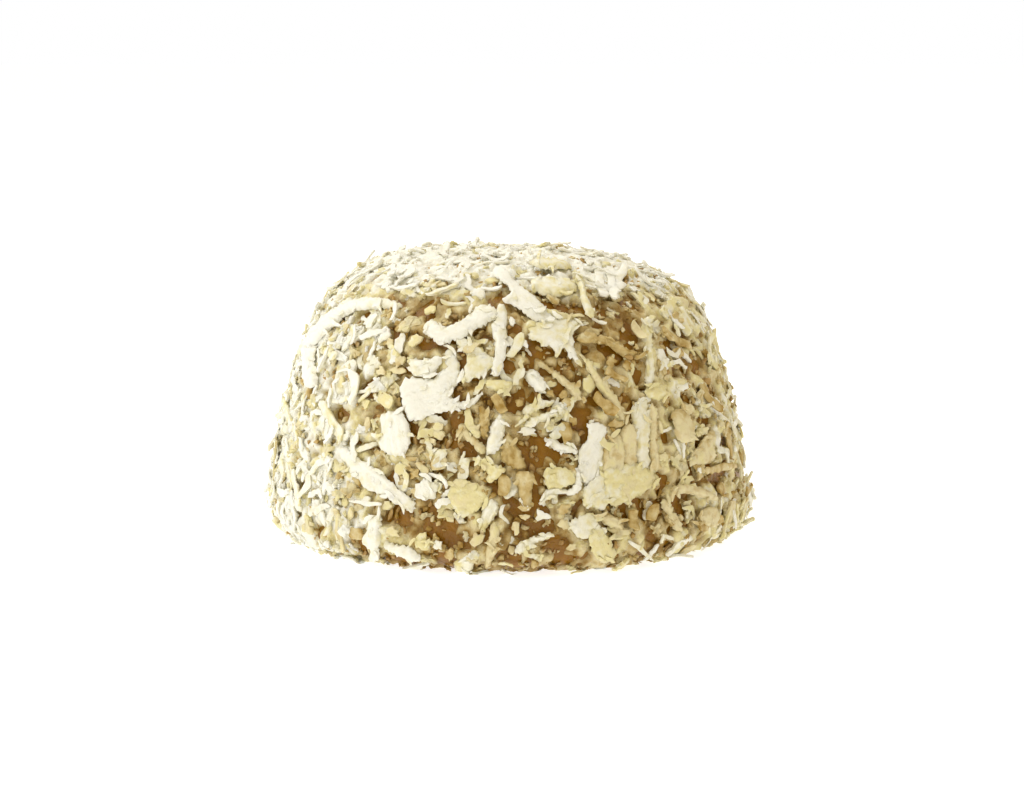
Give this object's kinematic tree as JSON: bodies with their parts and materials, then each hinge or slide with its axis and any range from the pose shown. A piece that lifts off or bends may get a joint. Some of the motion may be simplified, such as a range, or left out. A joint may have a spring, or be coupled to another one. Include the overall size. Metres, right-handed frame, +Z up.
{
  "type": "steamed palm sugar cake",
  "caption": "Small domed steamed palm sugar cake with a tapered side, rounded shoulder and flat underside, coated all over in grated coconut.",
  "frame": {"origin": "middle of the flat underside, on the surface that the cake rests on", "axes": "+Z up through the crown, -Y towards the front that the picture shows, +X to its right"},
  "size_m": [0.0503, 0.0498, 0.0291],
  "materials": {
    "coconut_coated_cake": "moist amber-brown cake under cream-white grated coconut"
  },
  "bodies": {
    "root": {"cake": "coconut_coated_cake"}
  },
  "joints": []
}
